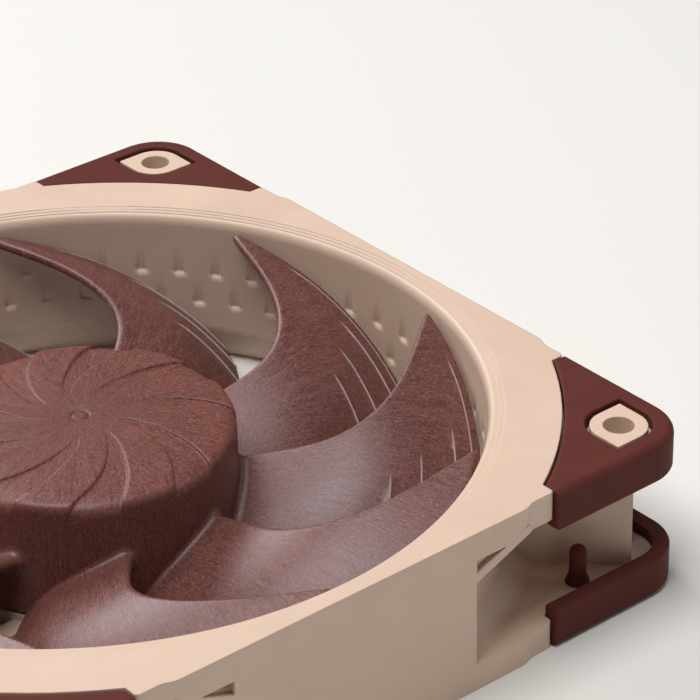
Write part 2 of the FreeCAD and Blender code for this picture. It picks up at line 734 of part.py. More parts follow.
def make_coils(bottom, top):
    """Four windings, each a rounded loop round one covered arm."""
    half, reach = "(core_arm / 2 + bobbin_wall)", "(core_arm / 2 + bobbin_wall + coil_build)"
    run, height = ("coil_inner", "coil_outer"), (f"{bottom} - coil_build", f"{top} + coil_build")
    outside = block("coil_outside", run, (f"-{reach}", reach), height)
    inside = block("coil_inside", ("coil_inner - 1", "coil_outer + 1"), (f"-{half}", half), (bottom, top))
    loop = cut("coil_loop", outside, inside)
    return [turned(f"coil_{number}", [loop], angle) for number, angle in enumerate(QUARTERS, start=1)]


def make_stator():
    """Core, insulators, windings and pins."""
    bottom, top = "core_bottom", "core_bottom + core_height"
    middle = "core_bottom + core_height / 2"
    above, below = f"{top} + bobbin_wall", f"{bottom} - bobbin_wall"
    upper = make_bobbin("upper_bobbin", top, above, f"{top} + bobbin_rise", middle)
    lower = make_bobbin("lower_bobbin", bottom, below, f"{bottom} - bobbin_rise", middle)
    pin = cylinder("winding_pin", "pin_radius", "pin_bottom", f"{bottom} - bobbin_rise", "pin_circle")
    return [make_core(), upper, lower, *make_coils(below, above), all_round("winding_pins", [pin])]


# ---- board ----


def make_board():
    """The motor's circuit board and what is soldered to it."""
    top = "board_bottom + board_thickness"
    plate = tube("board_disc", "board_radius", "board_bore", "board_bottom", top)
    hole = cylinder("pin_hole", "pin_radius", "board_bottom - 1", f"{top} + 1", "pin_circle")
    board = cut("circuit_board", plate, all_round("pin_holes", [hole]))

    def chip(name, kind, height):
        """A block on the board, with its radius, length and width in the sheet."""
        length = (f"{kind}_from - {kind}_long / 2", f"{kind}_from + {kind}_long / 2")
        width = f"{kind}_wide / 2"
        return block(name, length, (f"-{width}", width), (top, f"{top} + {height}"))

    mound = cylinder("lead_mound", "mound_radius", top, f"{top} + mound_height", "mound_from", "0")
    return [
        board,
        turned("driver_chip", [chip("driver_body", "driver", "driver_height")], 45),
        turned("hall_sensor", [chip("sensor_body", "sensor", "sensor_height")], 45),
        all_round("board_parts", [chip("small_part", "small", "small_height")], SMALL_PART_ANGLES),
        all_round("lead_pads", [mound], LEAD_PAD_ANGLES),
    ]


sub_parts = [make_frame(), *make_pads(), make_impeller()]
sub_parts += [*make_rotor(), *make_bearing(), *make_stator(), *make_board()]
doc.recompute()

failed = [item.Name for item in doc.Objects if {"Invalid", "Error"} & set(item.State)]
if failed:
    raise RuntimeError(f"failed objects: {failed}")
os.makedirs(PARTS_FOLDER, exist_ok=True)
for part in sub_parts:
    part.Label = part.Name
    if part.Shape.isNull() or not part.Shape.isValid():
        raise RuntimeError(f"bad shape: {part.Label}")
    part.Shape.exportStep(f"{PARTS_FOLDER}/{part.Label}.step")
    print(part.Label, len(part.Shape.Solids), round(part.Shape.Volume, 2))
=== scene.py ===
"""Looks of a 120 mm case fan, laid out as an add-on with one operator for each group of pieces."""
import json
import math

import bmesh
import bpy
import numpy as np
from bpy.props import FloatProperty, FloatVectorProperty, IntProperty, PointerProperty
from mathutils import Matrix, Vector


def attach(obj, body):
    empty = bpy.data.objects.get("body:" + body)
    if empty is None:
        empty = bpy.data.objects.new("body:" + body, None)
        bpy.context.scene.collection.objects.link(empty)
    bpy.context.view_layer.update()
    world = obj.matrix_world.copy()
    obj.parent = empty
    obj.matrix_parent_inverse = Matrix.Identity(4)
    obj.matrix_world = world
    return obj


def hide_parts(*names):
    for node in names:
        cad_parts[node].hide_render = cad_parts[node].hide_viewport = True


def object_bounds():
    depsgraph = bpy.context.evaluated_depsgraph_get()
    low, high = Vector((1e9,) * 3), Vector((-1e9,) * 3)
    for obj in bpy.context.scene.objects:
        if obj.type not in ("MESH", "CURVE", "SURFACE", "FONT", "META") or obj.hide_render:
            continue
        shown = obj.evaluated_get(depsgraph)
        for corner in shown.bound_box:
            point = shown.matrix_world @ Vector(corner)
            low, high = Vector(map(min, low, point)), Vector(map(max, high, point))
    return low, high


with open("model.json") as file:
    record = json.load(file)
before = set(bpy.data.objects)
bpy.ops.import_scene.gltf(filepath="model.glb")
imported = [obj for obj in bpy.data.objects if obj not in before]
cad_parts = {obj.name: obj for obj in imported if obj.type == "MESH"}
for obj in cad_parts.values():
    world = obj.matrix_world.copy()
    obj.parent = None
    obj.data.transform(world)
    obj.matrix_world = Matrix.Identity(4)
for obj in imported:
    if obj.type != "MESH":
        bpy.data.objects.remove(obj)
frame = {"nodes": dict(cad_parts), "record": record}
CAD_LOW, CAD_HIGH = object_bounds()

bl_info = {
    "name": "Case fan",
    "version": (1, 0, 0),
    "blender": (4, 5, 0),
    "location": "View3D > Sidebar > Fan",
    "description": "Makes the moulded frame, corner pads, impeller and motor of a case fan",
    "category": "Object",
}

STATIC_BODY = "fan_frame"
ROTOR_BODY = "rotor"
CORNERS = 4

# Sizes are in millimetres, as in the CAD model, unless a line says otherwise.
DEPTH = round((CAD_HIGH[2] - CAD_LOW[2]) * 1000, 2)
HALF_SIDE = round(CAD_HIGH[0] * 1000, 2)
HOLE_PLACE = 52.5
BORE = 56.4
HUB = 21.65
HUB_INSIDE = 20.3
HUB_BOTTOM = 4.4
TIP = 55.7
ROOT = 20.9
FACE_LEVEL = 0.02


# ---- meshes ----


def new_object(name, points, faces, material=None):
    """An object whose mesh is given in millimetres."""
    mesh = bpy.data.meshes.new(name)
    mesh.from_pydata((np.asarray(points, float) / 1000).tolist(), [], faces)
    mesh.validate()
    piece = bpy.data.objects.new(name, mesh)
    bpy.context.scene.collection.objects.link(piece)
    if material:
        mesh.materials.append(material)
    return piece


def shade(piece, angle=32, weighted=True):
    """Smooth shading that breaks at edges sharper than the angle; large faces keep their own direction."""
    mesh = piece.data
    mesh.polygons.foreach_set("use_smooth", [True] * len(mesh.polygons))
    mesh.set_sharp_from_angle(angle=math.radians(angle))
    mesh.update()
    if weighted:
        modifier = piece.modifiers.new("Normals", "WEIGHTED_NORMAL")
        modifier.keep_sharp = True
        made_plain(piece)


def face_outwards(piece):
    """Merges doubles and turns every face outwards."""
    work = bmesh.new()
    work.from_mesh(piece.data)
    bmesh.ops.remove_doubles(work, verts=work.verts, dist=1e-6)
    bmesh.ops.recalc_face_normals(work, faces=work.faces)
    work.to_mesh(piece.data)
    work.free()


def made_plain(piece):
    """Puts the evaluated mesh in place of the piece's mesh and its modifiers."""
    graph = bpy.context.evaluated_depsgraph_get()
    result = bpy.data.meshes.new_from_object(piece.evaluated_get(graph), depsgraph=graph)
    result.name = piece.name
    piece.modifiers.clear()
    piece.data = result


def merged_copy(node, name):
    """A copy of a CAD node as one skin, its flat faces made whole."""
    work = bmesh.new()
    work.from_mesh(frame["nodes"][node].data)
    bmesh.ops.remove_doubles(work, verts=work.verts, dist=2e-6)
    bmesh.ops.dissolve_limit(
        work, angle_limit=math.radians(0.6), verts=work.verts, edges=work.edges, delimit={"NORMAL"}
    )
    mesh = bpy.data.meshes.new(name)
    work.to_mesh(mesh)
    work.free()
    mesh.materials.clear()
    piece = bpy.data.objects.new(name, mesh)
    bpy.context.scene.collection.objects.link(piece)
    return piece


def between_rows(rows, count, closed=False):
    """Faces between rings of points, each ring count points long; closed joins the last ring to the first."""
    faces = []
    for row in range(rows if closed else rows - 1):
        here, there = row * count, (row + 1) % rows * count
        for index in range(count):
            after = (index + 1) % count
            faces.append((here + index, there + index, there + after, here + after))
    return faces


def curve_through(x, table):
    """A smooth curve through a table of (x, y) pairs."""
    xs, ys = np.array(table, float).T
    slopes = np.gradient(ys, xs)
    x = np.clip(np.asarray(x, float), xs[0], xs[-1])
    index = np.clip(np.searchsorted(xs, x, side="right") - 1, 0, len(xs) - 2)
    gap = xs[index + 1] - xs[index]
    t = (x - xs[index]) / gap
    return (
        (2 * t**3 - 3 * t**2 + 1) * ys[index]
        + (t**3 - 2 * t**2 + t) * gap * slopes[index]
        + (3 * t**2 - 2 * t**3) * ys[index + 1]
        + (t**3 - t**2) * gap * slopes[index + 1]
    )


def finish_piece(piece, body, slot, *nodes):
    """Puts a piece under the empty of its body and hides the CAD nodes that it stands for; the finish, slot,
    is not used.
    """
    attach(piece, body)
    if nodes:
        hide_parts(*nodes)


# ---- nodes ----


class Reading:
    """A socket that can be used in sums."""

    def __init__(self, nodes, socket):
        self.nodes = nodes
        self.socket = socket

    def sum(self, operation, first, second):
        return self.nodes.add("ShaderNodeMath", {"operation": operation}, {0: first, 1: second})

    def __add__(self, other):
        return self.sum("ADD", self, other)

    __radd__ = __add__

    def __sub__(self, other):
        return self.sum("SUBTRACT", self, other)

    def __rsub__(self, other):
        return self.sum("SUBTRACT", other, self)

    def __mul__(self, other):
        return self.sum("MULTIPLY", self, other)

    __rmul__ = __mul__

    def __truediv__(self, other):
        return self.sum("DIVIDE", self, other)



class Nodes:
    """A node tree that is written as sums and calls."""

    def __init__(self, tree):
        self.tree = tree

    def add(self, kind, settings=None, inputs=None, output=0):
        """A node of any type: its settings first, then the values or links of its sockets."""
        node = self.tree.nodes.new(kind)
        for name, value in (settings or {}).items():
            setattr(node, name, value)
        for key, value in (inputs or {}).items():
            if isinstance(value, Reading):
                self.tree.links.new(value.socket, node.inputs[key])
            elif value is not None:
                node.inputs[key].default_value = value
        return Reading(self, node.outputs[output]) if len(node.outputs) else None

    def noise(self, place, scale, detail=2.0, roughness=0.5):
        """Smooth noise from 0 to 1."""
        inputs = {"Vector": place, "Scale": scale, "Detail": detail, "Roughness": roughness}
        return self.add("ShaderNodeTexNoise", {}, inputs)

    def level(self, value, low, high, start=0.0, end=1.0):
        """A value taken from one range to another."""
        inputs = {"Value": value, "From Min": low, "From Max": high, "To Min": start, "To Max": end}
        return self.add("ShaderNodeMapRange", {"clamp": True}, inputs)

    def tint(self, factor, first, second):
        """A colour between two others."""
        return self.add("ShaderNodeMix", {"data_type": "RGBA"}, {0: factor, 6: first, 7: second}, output=2)

    def scaled(self, place, x, y, z):
        """A place stretched along its axes."""
        return self.add("ShaderNodeVectorMath", {"operation": "MULTIPLY"}, {0: place, 1: (x, y, z)})


def rgba(colour, share=1.0):
    """A colour with its alpha, darker or lighter by a share."""
    return (*(min(1.0, part * share) for part in colour), 1.0)


def new_material(name):
    """An empty material and its nodes."""
    material = bpy.data.materials.new(name)
    material.use_nodes = True
    material.node_tree.nodes.clear()
    return material, Nodes(material.node_tree)


def surface(nodes, colour, roughness, bump=None, bump_height=0.0, edge=0.0, **constants):
    """The shader and the output, with edges softened by a radius; constants are the same all over."""
    inputs = {"Base Color": colour, "Roughness": roughness}
    inputs.update({name.replace("_", " "): value for name, value in constants.items()})
    if bump is not None:
        soft = nodes.add("ShaderNodeBevel", {"samples": 6}, {"Radius": edge}) if edge else None
        bumps = {"Height": bump, "Distance": bump_height, "Strength": 1.0, "Normal": soft}
        inputs["Normal"] = nodes.add("ShaderNodeBump", {}, bumps)
    shader = nodes.add("ShaderNodeBsdfPrincipled", {}, inputs)
    nodes.add("ShaderNodeOutputMaterial", {}, {"Surface": shader})


def place_of(nodes):
    """Object coordinates, in metres."""
    return nodes.add("ShaderNodeTexCoord", {}, {}, output="Object")


def moulded_plastic(name, colour, roughness, edge=0.0):
    """Satin moulded plastic: fine spark-eroded grain, cloudy colour and worn patches."""
    grain, grain_depth, mottle = 0.00028, 0.000012, 0.06
    material, nodes = new_material(name)
    place = place_of(nodes)
    grains = nodes.noise(place, 1 / grain, 3.0, 0.6)
    clouds = nodes.noise(place, 70.0, 4.0, 0.6)
    speck = nodes.level(grains, 0.35, 0.65, -1.0, 1.0)
    cloud = nodes.level(clouds, 0.3, 0.7, -1.0, 1.0)
    factor = 0.5 + speck * 0.22 + cloud * 0.28
    tone = nodes.tint(factor, rgba(colour, 1 - mottle), rgba(colour, 1 + mottle))
    rough = roughness + speck * 0.03 + cloud * 0.05
    surface(nodes, tone, rough, grains, grain_depth, edge)
    return material


def soft_rubber(name, colour):
    """Matt elastomer with a fine grain, faint dust and lighter worn bloom."""
    grain_depth, dust_colour = 0.00002, (0.30, 0.24, 0.21, 1.0)
    material, nodes = new_material(name)
    place = place_of(nodes)
    grains = nodes.noise(place, 4200.0, 3.0, 0.65)
    bloom = nodes.level(nodes.noise(place, 160.0, 5.0, 0.65), 0.42, 0.75)
    dust = nodes.level(nodes.noise(place, 2400.0, 1.0, 0.5), 0.70, 0.78)
    body = nodes.tint(bloom * 0.5, rgba(colour), rgba(colour, 1.30))
    dusted = nodes.tint(dust * 0.14, body, dust_colour)
    rough = 0.60 + bloom * 0.10 + nodes.level(grains, 0.3, 0.7, -0.05, 0.05)
    surface(nodes, dusted, rough, grains, grain_depth, Specular_IOR_Level=0.10)
    return material


def fibre_plastic(name, colour, shine):
    """Glass-filled plastic: short fibres along the flow, pale flecks, a painted highlight on the ribs, and a
    satin skin.
    """
    grain_depth, cool = 0.00003, (0.92, 0.89, 0.97, 1.0)
    # the second colour is a painted highlight for the crests of the ribs
    fleck_colour, rib_highlight_colour = (0.40, 0.27, 0.25, 1.0), (0.60, 0.48, 0.46, 1.0)
    material, nodes = new_material(name)
    place = place_of(nodes)
    flow = nodes.add("ShaderNodeAttribute", {"attribute_name": "flow"}, {}, output="Vector")
    rib = nodes.add("ShaderNodeAttribute", {"attribute_name": "rib"}, {}, output="Fac")
    fibres = nodes.noise(nodes.scaled(flow, 0.40, 3.4, 1.0), 1000.0, 3.0, 0.7)
    streaks = nodes.noise(nodes.scaled(flow, 0.05, 1.2, 1.0), 1000.0, 3.0, 0.6)
    flecks = nodes.noise(nodes.scaled(flow, 1.6, 4.4, 3.0), 1000.0, 2.0, 0.6)
    speckle = nodes.noise(place, 3600.0, 2.0, 0.6)
    clouds = nodes.noise(place, 60.0, 3.0, 0.5)
    fibre = nodes.level(fibres, 0.36, 0.66, -1.0, 1.0)
    streak = nodes.level(streaks, 0.36, 0.66, -1.0, 1.0)
    speck = nodes.level(speckle, 0.38, 0.64, -1.0, 1.0)
    cloud = nodes.level(clouds, 0.3, 0.7, -1.0, 1.0)
    fleck = nodes.level(flecks, 0.50, 0.72)
    factor = 0.5 + fibre * 0.24 + streak * 0.12 + speck * 0.30 + cloud * 0.12
    tone = nodes.tint(factor, rgba(colour, 0.60), rgba(colour, 1.48))
    tone = nodes.tint(fleck * 0.22, tone, fleck_colour)
    # painted highlight: the ribs' crests are painted in the paler colour
    tone = nodes.tint(rib * 0.85, tone, rib_highlight_colour)
    rough = 0.42 + fibre * 0.05 + speck * 0.05 + streak * 0.03
    surface(
        nodes, tone, rough, fibres + speckle * 0.9, grain_depth, Specular_IOR_Level=shine, Specular_Tint=cool
    )
    return material


def metal(name, colour, roughness, stretch, scale):
    """Bare metal with a drawn or rolled grain and a little tarnish."""
    grain_depth, tarnish = 0.000006, 0.25
    material, nodes = new_material(name)
    place = place_of(nodes)
    lines = nodes.noise(nodes.scaled(place, *stretch), scale, 3.0, 0.6)
    stain = nodes.level(nodes.noise(place, 220.0, 4.0, 0.6), 0.4, 0.75)
    tone = nodes.tint(stain * tarnish, rgba(colour), rgba(colour, 0.6))
    rough = roughness + nodes.level(lines, 0.3, 0.7, -0.06, 0.06) + stain * 0.12
    surface(nodes, tone, rough, lines, grain_depth, Metallic=1.0)
    return material


# ---- repeats ----


def new_group(name, inputs):
    """A geometry node group with named inputs; returns it with its nodes and the input readings."""
    tree = bpy.data.node_groups.new(name, "GeometryNodeTree")
    tree.interface.new_socket("Shape", in_out="INPUT", socket_type="NodeSocketGeometry")
    for label, kind, value in inputs:
        socket = tree.interface.new_socket(label, in_out="INPUT", socket_type=kind)
        if value is not None:
            socket.default_value = value
    tree.interface.new_socket("Result", in_out="OUTPUT", socket_type="NodeSocketGeometry")
    nodes = Nodes(tree)
    start = tree.nodes.new("NodeGroupInput")
    readings = {socket.name: Reading(nodes, socket) for socket in start.outputs if socket.name}
    return tree, nodes, readings


def end_group(nodes, shape, material):
    """Realises the instances, gives them their material and ends the tree."""
    real = nodes.add("GeometryNodeRealizeInstances", {}, {"Geometry": shape})
    dressed = nodes.add("GeometryNodeSetMaterial", {}, {"Geometry": real, "Material": material})
    nodes.add("NodeGroupOutput", {}, {0: dressed})


def round_the_axis():
    """A tree that repeats its shape at even angles about the fan's axis."""
    tree, nodes, given = new_group("Repeat round the axis", [
        ("Count", "NodeSocketInt", CORNERS),
        ("Material", "NodeSocketMaterial", None),
    ])
    points = nodes.add("GeometryNodePoints", {}, {"Count": given["Count"]})
    index = nodes.add("GeometryNodeInputIndex")
    turn = nodes.add("ShaderNodeCombineXYZ", {}, {"Z": index * math.tau / given["Count"]})
    copies = nodes.add(
        "GeometryNodeInstanceOnPoints", {}, {"Points": points, "Instance": given["Shape"], "Rotation": turn}
    )
    end_group(nodes, copies, given["Material"])
    return tree


def run_tree(piece, tree, values):
    """Runs a tree on a piece and keeps the result as its plain mesh."""
    modifier = piece.modifiers.new("Repeat", "NODES")
    modifier.node_group = tree
    for item in tree.interface.items_tree:
        if item.item_type == "SOCKET" and item.in_out == "INPUT" and item.name in values:
            modifier[item.identifier] = values[item.name]
    made_plain(piece)


def repeat_round(piece, count, material):
    """Repeats the piece at even angles about the axis."""
    tree = bpy.data.node_groups.get("Repeat round the axis") or round_the_axis()
    run_tree(piece, tree, {"Count": count, "Material": material})


# ---- frame ----

LIP_RADIUS, LIP_TOP, WALL_TOP, WALL_BOTTOM = 57.3, 24.7, 23.1, 5.0
LEDGES = (15.05, 10.0)
POCKET_RISE = 4.8
POCKET_HALF = 0.68
POCKET_FADE = 2.4
BOSS_REACH, BOSS_DROP = 6.0, 0.35


def wall_heights():
    """Heights of the inner wall's rows, close together at each ledge."""
    heights = [WALL_BOTTOM, 6.2, 7.6, 9.0]
    for ledge, top in ((LEDGES[1], LEDGES[0]), (LEDGES[0], WALL_TOP)):
        heights += [ledge - 0.01, ledge + 0.01]
        heights += [ledge + rise for rise in (0.35, 0.8, 1.4, 2.1, 3.0, 4.0) if ledge + rise < top - 0.1]
    heights += [19.9, LEDGES[0] + POCKET_RISE, 21.3, 22.2, WALL_TOP]
    return sorted(heights)


def pocket_depth(height, bearing, period, depth):
    """Depth of the wall's small pockets, which alternate between two rows."""
    for row, ledge in enumerate(LEDGES):
        first = period / 2 if row == 0 else 0.0
        off = (bearing - first + period / 2) % period - period / 2
        share = (height - ledge) / POCKET_RISE
        if 0 < share < 1 and abs(off) * math.radians(BORE) < POCKET_HALF:
            return depth * (1 - share) ** POCKET_FADE
    return 0.0


def inner_wall(pockets, depth):
    """The skin of the bore: rounded lip, wall with its rows of pockets, and two hidden borders."""
    period = 360 / pockets
    half = math.degrees(POCKET_HALF / BORE)
    beside = (half * 0.55, half - 0.01, half + 0.05)
    offsets = [-period / 4, *(-offset for offset in reversed(beside)), 0.0, *beside]
    bearings = [period / 2 * cell + offset for cell in range(2 * pockets) for offset in offsets]
    rows = [(BORE + 0.4, WALL_BOTTOM - 0.4)] + [(None, height) for height in wall_heights()[:-1]]
    for turn in np.radians(np.linspace(0, 90, 9)):
        across = (LIP_RADIUS - BORE) * math.cos(turn)
        rows.append((LIP_RADIUS - across, WALL_TOP + (LIP_TOP - WALL_TOP) * math.sin(turn)))
    rows.append((LIP_RADIUS + 0.3, LIP_TOP - 0.2))
    points = []
    for radius, height in rows:
        for bearing in bearings:
            reach = radius or BORE + pocket_depth(height, bearing, period, depth)
            angle = math.radians(bearing)
            points.append((reach * math.cos(angle), reach * math.sin(angle), height))
    return points, between_rows(len(rows), len(bearings))


def lower_bosses(work):
    """Sets the faces of the hole bosses a little inside the faces of the pads."""
    for vertex in work.verts:
        x, y, z = vertex.co * 1000
        on_boss = math.hypot(abs(x) - HOLE_PLACE, abs(y) - HOLE_PLACE) < BOSS_REACH
        if on_boss and min(z, DEPTH - z) < FACE_LEVEL / 2:
            vertex.co.z += (1 if z < DEPTH / 2 else -1) * BOSS_DROP / 1000


def moulded_frame(pockets, depth):
    """The frame's skin, its bosses lowered and its plain inner wall replaced by the pocketed one."""
    piece = merged_copy("frame", "moulded_frame")
    work = bmesh.new()
    work.from_mesh(piece.data)
    lower_bosses(work)
    plain = []
    for face in work.faces:
        x, y, z = face.calc_center_median() * 1000
        radius = math.hypot(x, y)
        inward = -(face.normal.x * x + face.normal.y * y) / max(radius, 1)
        if BORE - 0.1 < radius < LIP_RADIUS + 0.02 and WALL_BOTTOM < z < LIP_TOP and inward > 0.05:
            plain.append(face)
    bmesh.ops.delete(work, geom=plain, context="FACES")
    points, faces = inner_wall(pockets, depth)
    corners = [work.verts.new(Vector(point) / 1000) for point in points]
    for face in faces:
        work.faces.new([corners[index] for index in face])
    work.to_mesh(piece.data)
    work.free()
    return piece


# ---- operators ----


class FanSizes(bpy.types.PropertyGroup):
    """Sizes and counts that change how the fan looks."""

    blade_count: IntProperty(name="Blades", description="Blades round the hub", default=9, min=3, max=15)
    pocket_count: IntProperty(
        name="Pockets in a row", description="Small pockets in one row of the inner wall",
        default=60, min=1, max=90,
    )
    pocket_depth: FloatProperty(
        name="Pocket depth", description="Deepest part of a wall pocket", default=0.00028, unit="LENGTH"
    )
    edge_round: FloatProperty(
        name="Frame edge", description="Rounding of the frame's moulded edges", default=0.0003, unit="LENGTH"
    )
    pad_round: FloatProperty(
        name="Pad edge", description="Rounding of the pads' outer edges", default=0.0012, unit="LENGTH"
    )
    turn_count: IntProperty(
        name="Coil turns", description="Turns of wire in one coil layer", default=14, min=4, max=30
    )


class FanColours(bpy.types.PropertyGroup):
    """Colours of the fan's materials."""

    frame_plastic: FloatVectorProperty(
        name="Frame", description="Moulded frame", subtype="COLOR", default=(0.64, 0.475, 0.375), min=0, max=1
    )
    pad_rubber: FloatVectorProperty(
        name="Pads", description="Corner pads", subtype="COLOR", default=(0.096, 0.025, 0.020), min=0, max=1
    )
    impeller_plastic: FloatVectorProperty(
        name="Impeller", description="Hub and blades", subtype="COLOR",
        default=(0.130, 0.043, 0.034), min=0, max=1,
    )
    floor: FloatVectorProperty(
        name="Floor", description="Studio floor", subtype="COLOR", default=(0.72, 0.71, 0.69), min=0, max=1
    )


class FAN_OT_frame(bpy.types.Operator):
    """Make the moulded frame with its rows of wall pockets"""

    bl_idname = "case_fan.frame"
    bl_label = "Frame"

    def execute(self, context):
        sizes, colours = context.scene.fan_sizes, context.scene.fan_colours
        material = moulded_plastic("frame plastic", colours.frame_plastic, 0.46, edge=sizes.edge_round)
        piece = moulded_frame(sizes.pocket_count, sizes.pocket_depth * 1000)
        piece.data.materials.append(material)
        shade(piece)
        finish_piece(piece, STATIC_BODY, "frame_plastic", "frame")
        return {"FINISHED"}


PAD_OPENING, OPENING_DEPTH, OPENING_GROWTH = 6.5, 2.5, 0.04
PAD_ARC = 7.0


def pad_shape(rounding):
    """One corner pad, its outer rim well rounded, its other edges softened and its opening a little wider."""
    piece = merged_copy("intake_pad_1", "corner_pads")
    work = bmesh.new()
    work.from_mesh(piece.data)
    bmesh.ops.transform(work, matrix=Matrix.Scale(1000, 4), verts=work.verts)

    def sharp(edge):
        return len(edge.link_faces) == 2 and edge.calc_face_angle(0) > math.radians(38)

    def on_top(edge):
        return all(abs(vertex.co.z - DEPTH) < FACE_LEVEL for vertex in edge.verts)

    def middle(edge):
        return (edge.verts[0].co + edge.verts[1].co) / 2

    def from_hole(place):
        return math.hypot(place.x - HOLE_PLACE, place.y - HOLE_PLACE)

    def on_rim(edge):
        place = middle(edge)
        outside = max(place.x, place.y) > HALF_SIDE - 0.1
        corner = from_hole(place) > PAD_ARC and min(place.x, place.y) > HOLE_PLACE - 0.1
        return on_top(edge) and (outside or corner)

    def near_hole(edge):
        return on_top(edge) and from_hole(middle(edge)) < PAD_OPENING

    def soften(chosen, width, segments):
        edges = [edge for edge in work.edges if sharp(edge) and chosen(edge)]
        bmesh.ops.bevel(
            work, geom=edges, offset=width, segments=segments, profile=0.5, affect="EDGES",
            clamp_overlap=False,
        )

    for vertex in work.verts:
        across = Vector((vertex.co.x - HOLE_PLACE, vertex.co.y - HOLE_PLACE, 0))
        if across.length < PAD_OPENING and vertex.co.z > DEPTH - OPENING_DEPTH:
            vertex.co += across * OPENING_GROWTH
    soften(on_rim, rounding, 5)
    soften(near_hole, 0.3, 3)
    soften(on_top, 0.5, 4)
    soften(lambda edge: True, 0.22, 2)
    bmesh.ops.transform(work, matrix=Matrix.Scale(0.001, 4), verts=work.verts)
    work.to_mesh(piece.data)
    work.free()
    return piece


class FAN_OT_pads(bpy.types.Operator):
    """Make the eight rubber corner pads"""

    bl_idname = "case_fan.pads"
    bl_label = "Corner pads"

    def execute(self, context):
        sizes, colours = context.scene.fan_sizes, context.scene.fan_colours
        material = soft_rubber("pad rubber", colours.pad_rubber)
        upper = pad_shape(sizes.pad_round * 1000)
        lower = upper.copy()
        lower.data = upper.data.copy()
        context.scene.collection.objects.link(lower)
        flip = Matrix.Translation((0, 0, DEPTH / 1000)) @ Matrix.Rotation(math.pi, 4, Vector((1, 1, 0)))
        lower.data.transform(flip)
        for piece, face in ((upper, "intake"), (lower, "exhaust")):
            piece.name = f"{face}_pads"
            repeat_round(piece, CORNERS, material)
            shade(piece)
            nodes = [f"{face}_pad_{number}" for number in range(1, CORNERS + 1)]
            finish_piece(piece, STATIC_BODY, "pad_rubber", *nodes)
        return {"FINISHED"}


# ---- impeller ----

BLADE_THICKNESS, BLADE_THINNING, ROOT_THICKENING = 1.5, 0.7, 0.7
BLADE_LOWEST, ROOT_ZONE = 3.55, 0.9
CAMBER = 0.62
ROOT_FILLET, TIP_ROUND, TIP_CORNER = 1.4, 0.3, 0.7
NOSE_REACH, TAIL_REACH = 1.15, 0.4
# the rounded nose, the stretch between and the rounded tail of a blade's section
NOSE = np.radians(np.linspace(0, 90, 6))
STRETCH = np.concatenate([np.linspace(0.0, 0.45, 15), np.linspace(0.47, 1.0, 20)])
TAIL = np.radians(np.linspace(90, 0, 4))
# radius and height
RIBS = ((52.0, 0.34), (47.2, 0.36), (43.0, 0.34))
TIP_LINE = (54.5, 0.24)
RIB_START = 0.49
FLOW_PER_RADIAN = 40.0


def leading_edge(span):
    """Angle in degrees and height of the leading edge, span 0 at the hub to 1 at the tip."""
    angle = 20.23 + span * (-21.0 + span * (-30.98 + span * (171.95 - 100.47 * span)))
    height = 14.2 + span * (8.75 + span * (-2.25 + span * (9.8 - 6.74 * span)))
    return angle, height


def trailing_edge(span):
    """Angle in degrees and height of the trailing edge."""
    return -18.5 + span * (4.4 + 18.3 * span), 4.6 + 0.3 * span


def blade_place(radius, distance, share, depth):
    """Points of a blade a distance plus a share of its length from its leading edge, and at a depth."""
    span = (radius - HUB) / (TIP - HUB)
    (lead, top), (trail, bottom) = leading_edge(span), trailing_edge(span)
    run = np.radians(trail - lead) * radius
    fall = bottom - top
    chord = share + distance / np.hypot(run, fall)
    camber = CAMBER * chord + (1 - CAMBER) * chord**3
    slope = fall * (CAMBER + 3 * (1 - CAMBER) * chord**2) / run
    offset = depth / np.hypot(1, slope)
    angle = np.radians(lead) + (run * chord + offset * slope) / radius
    lowest = HUB_BOTTOM if radius < HUB + ROOT_ZONE else BLADE_LOWEST
    height = np.maximum(top + fall * camber - offset, lowest)
    return np.stack([radius * np.cos(angle), radius * np.sin(angle), height], -1)


def rib_height(radius, share):
    """Height of the thin ribs on a blade's upper face, at shares of the way from nose to tail."""
    height = np.zeros_like(share)
    for place, most in RIBS:
        grown = np.clip((share - RIB_START) / 0.12, 0, 1)
        half = 0.13 + 0.08 * np.clip((share - RIB_START) / 0.3, 0, 1)
        height += most * grown * np.clip(1 - np.abs(radius - place) / half, 0, 1)
    place, most = TIP_LINE
    grown = np.clip((share - 0.2) / 0.15, 0, 1)
    return height + most * grown * np.clip(1 - np.abs(radius - place) / 0.15, 0, 1)


def drawn_in(size, depth):
    """How far a quarter round of a size has drawn in at a depth into it."""
    return size - math.sqrt(max(0.0, size**2 - depth**2))


def blade_radii():
    """Radii of a blade's sections, close together at the hub, at each rib and at the tip."""
    last = TIP - TIP_ROUND
    radii = set(np.round(np.linspace(ROOT, last, 34), 3))
    radii |= {round(HUB + step, 3) for step in (0.0, 0.08, 0.2, 0.4, 0.65, 0.95, 1.4, 1.9)}
    for place, _ in (*RIBS, TIP_LINE):
        radii |= {round(place + step, 3) for step in (-0.2, -0.1, -0.03, 0.03, 0.1, 0.2)}
    radii |= {round(last + TIP_ROUND * math.sin(math.radians(turn)), 4) for turn in (30, 60, 90)}
    return sorted(radii)


